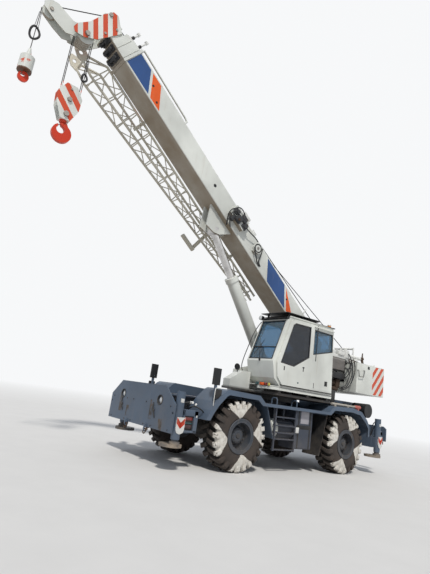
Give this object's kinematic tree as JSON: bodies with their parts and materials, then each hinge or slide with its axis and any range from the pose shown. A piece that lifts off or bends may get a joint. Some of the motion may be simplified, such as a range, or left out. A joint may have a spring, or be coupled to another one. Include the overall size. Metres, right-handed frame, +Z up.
{
  "type": "rough-terrain mobile crane",
  "caption": "Two-axle rough-terrain mobile crane with a telescopic boom, side-stowed lattice jib, glazed side cab, outriggers and a striped hook block.",
  "frame": {"origin": "on the ground, under the middle of the whole crane's bounding box", "axes": "+X forwards, towards the boom head and the front bumper plate; +Y to the left, the cab's side; +Z up"},
  "size_m": [12.5608, 3.016, 10.0934],
  "materials": {
    "carrier_paint": "dark slate blue-grey paint, dusty",
    "white_paint": "cream white paint",
    "boom_paint": "cream white paint with blank side panels",
    "jib_paint": "cream paint, weathered",
    "rim_paint": "dark slate paint, dusty",
    "axle_iron": "painted cast iron, dusty",
    "tyre_rubber": "dusty black-brown rubber",
    "glass": "lightly tinted glass",
    "interior_plastic": "dark seat and console",
    "rod_chrome": "polished rod",
    "block_paint": "white with red stripes",
    "hook_red": "red paint, scratched",
    "aux_paint": "white weight, red hook"
  },
  "bodies": {
    "carrier": {"chassis": "carrier_paint", "front_housing": "carrier_paint", "rear_housing": "carrier_paint", "fenders": "carrier_paint", "side_equipment": "carrier_paint", "engine_hood": "carrier_paint", "axles": "axle_iron"},
    "turntable": {"turntable_frame": "white_paint", "counterweight": "white_paint", "winches": "white_paint", "cab_shell": "white_paint", "cab_glass": "glass", "cab_interior": "interior_plastic"},
    "cab_door": {"cab_door": "white_paint", "door_glass": "glass"},
    "boom": {"boom_base": "boom_paint", "lattice_jib": "jib_paint"},
    "boom_section_2": {"boom_section_2": "boom_paint"},
    "boom_section_3": {"boom_section_3": "boom_paint"},
    "boom_head": {"boom_head": "boom_paint"},
    "luff_rod": {"luff_rod": "rod_chrome"},
    "luff_barrel": {"luff_barrel": "white_paint"},
    "main_block": {"main_block": "block_paint"},
    "main_hook": {"main_hook": "hook_red"},
    "aux_hook": {"aux_hook": "aux_paint"},
    "knuckle_front_left": {"knuckle_front_left": "axle_iron"},
    "wheel_front_left": {"rim_front_left": "rim_paint", "tyre_front_left": "tyre_rubber"},
    "knuckle_front_right": {"knuckle_front_right": "axle_iron"},
    "wheel_front_right": {"rim_front_right": "rim_paint", "tyre_front_right": "tyre_rubber"},
    "knuckle_rear_left": {"knuckle_rear_left": "axle_iron"},
    "wheel_rear_left": {"rim_rear_left": "rim_paint", "tyre_rear_left": "tyre_rubber"},
    "knuckle_rear_right": {"knuckle_rear_right": "axle_iron"},
    "wheel_rear_right": {"rim_rear_right": "rim_paint", "tyre_rear_right": "tyre_rubber"},
    "beam_front_left": {"beam_front_left": "carrier_paint"},
    "jack_front_left": {"jack_front_left": "carrier_paint"},
    "beam_front_right": {"beam_front_right": "carrier_paint"},
    "jack_front_right": {"jack_front_right": "carrier_paint"},
    "beam_rear_left": {"beam_rear_left": "carrier_paint"},
    "jack_rear_left": {"jack_rear_left": "carrier_paint"},
    "beam_rear_right": {"beam_rear_right": "carrier_paint"},
    "jack_rear_right": {"jack_rear_right": "carrier_paint"}
  },
  "joints": [
    {"name": "steer_front_left", "type": "hinge", "parent": "carrier", "child": "knuckle_front_left", "pos_m": [0.11, 0.86, 0.8], "axis": [0, 0, 1], "range_deg": [-25, 25]},
    {"name": "spin_front_left", "type": "hinge", "parent": "knuckle_front_left", "child": "wheel_front_left", "pos_m": [0.11, 1.18, 0.8], "axis": [0, 1, 0], "continuous": true},
    {"name": "steer_front_right", "type": "hinge", "parent": "carrier", "child": "knuckle_front_right", "pos_m": [0.11, -0.86, 0.8], "axis": [0, 0, 1], "range_deg": [-25, 25]},
    {"name": "spin_front_right", "type": "hinge", "parent": "knuckle_front_right", "child": "wheel_front_right", "pos_m": [0.11, -1.18, 0.8], "axis": [0, 1, 0], "continuous": true},
    {"name": "steer_rear_left", "type": "hinge", "parent": "carrier", "child": "knuckle_rear_left", "pos_m": [-3.89, 0.86, 0.8], "axis": [0, 0, 1], "range_deg": [-25, 25]},
    {"name": "spin_rear_left", "type": "hinge", "parent": "knuckle_rear_left", "child": "wheel_rear_left", "pos_m": [-3.89, 1.18, 0.8], "axis": [0, 1, 0], "continuous": true},
    {"name": "steer_rear_right", "type": "hinge", "parent": "carrier", "child": "knuckle_rear_right", "pos_m": [-3.89, -0.86, 0.8], "axis": [0, 0, 1], "range_deg": [-25, 25]},
    {"name": "spin_rear_right", "type": "hinge", "parent": "knuckle_rear_right", "child": "wheel_rear_right", "pos_m": [-3.89, -1.18, 0.8], "axis": [0, 1, 0], "continuous": true},
    {"name": "extend_front_left", "type": "slide", "parent": "carrier", "child": "beam_front_left", "axis": [0, 1, 0], "range_m": [0, 1.95]},
    {"name": "lower_front_left", "type": "slide", "parent": "beam_front_left", "child": "jack_front_left", "axis": [0, 0, -1], "range_m": [0, 0.6]},
    {"name": "extend_front_right", "type": "slide", "parent": "carrier", "child": "beam_front_right", "axis": [0, -1, 0], "range_m": [0, 1.95]},
    {"name": "lower_front_right", "type": "slide", "parent": "beam_front_right", "child": "jack_front_right", "axis": [0, 0, -1], "range_m": [0, 0.6]},
    {"name": "extend_rear_left", "type": "slide", "parent": "carrier", "child": "beam_rear_left", "axis": [0, 1, 0], "range_m": [0, 1.95]},
    {"name": "lower_rear_left", "type": "slide", "parent": "beam_rear_left", "child": "jack_rear_left", "axis": [0, 0, -1], "range_m": [0, 0.6]},
    {"name": "extend_rear_right", "type": "slide", "parent": "carrier", "child": "beam_rear_right", "axis": [0, -1, 0], "range_m": [0, 1.95]},
    {"name": "lower_rear_right", "type": "slide", "parent": "beam_rear_right", "child": "jack_rear_right", "axis": [0, 0, -1], "range_m": [0, 0.6]},
    {"name": "slew", "type": "hinge", "parent": "carrier", "child": "turntable", "pos_m": [-1.89, 0, 1.8], "axis": [0, 0, 1], "continuous": true},
    {"name": "door_slide", "type": "slide", "parent": "turntable", "child": "cab_door", "axis": [-1, 0, 0], "range_m": [0, 0.85]},
    {"name": "luff", "type": "hinge", "parent": "turntable", "child": "boom", "pos_m": [-3.84, 0, 3.1], "axis": [0, -1, 0], "range_deg": [-34.8, 43.2]},
    {"name": "telescope_2", "type": "slide", "parent": "boom", "child": "boom_section_2", "axis": [0.8007, 0, 0.599], "range_m": [0, 7.8]},
    {"name": "telescope_3", "type": "slide", "parent": "boom_section_2", "child": "boom_section_3", "axis": [0.8007, 0, 0.599], "range_m": [0, 7.8]},
    {"name": "telescope_4", "type": "slide", "parent": "boom_section_3", "child": "boom_head", "axis": [0.8007, 0, 0.599], "range_m": [0, 7.8]},
    {"name": "luff_rod_pin", "type": "hinge", "parent": "boom", "child": "luff_rod", "pos_m": [0.68989, 0, 5.95928], "axis": [0, -1, 0], "range_deg": [-5, 6]},
    {"name": "luff_cylinder", "type": "slide", "parent": "luff_rod", "child": "luff_barrel", "axis": [-0.5976, 0, -0.8018], "range_m": [-1.13, 1.37]},
    {"name": "main_fall_swing", "type": "hinge", "parent": "boom_head", "child": "main_block", "pos_m": [5.13736, 0, 9.12905], "axis": [0, 1, 0], "range_deg": [-35, 43.5]},
    {"name": "main_hook_swivel", "type": "hinge", "parent": "main_block", "child": "main_hook", "pos_m": [5.13736, 0, 6.96905], "axis": [0, 0, 1], "continuous": true},
    {"name": "aux_fall_swing", "type": "hinge", "parent": "boom_head", "child": "aux_hook", "pos_m": [5.95154, 0, 9.27606], "axis": [0, 1, 0], "range_deg": [-35, 43.5]}
  ],
  "couplings": [
    {"joint": "steer_front_right", "follows": "steer_front_left", "ratio": 1},
    {"joint": "steer_rear_right", "follows": "steer_rear_left", "ratio": 1},
    {"joint": "telescope_3", "follows": "telescope_2", "ratio": 1},
    {"joint": "telescope_4", "follows": "telescope_2", "ratio": 1},
    {"joint": "luff_rod_pin", "follows": "luff", "ratio": 0.12},
    {"joint": "luff_cylinder", "follows": "luff", "m_per_rad": 1.8048},
    {"joint": "main_fall_swing", "follows": "luff", "ratio": 1},
    {"joint": "aux_fall_swing", "follows": "luff", "ratio": 1}
  ]
}
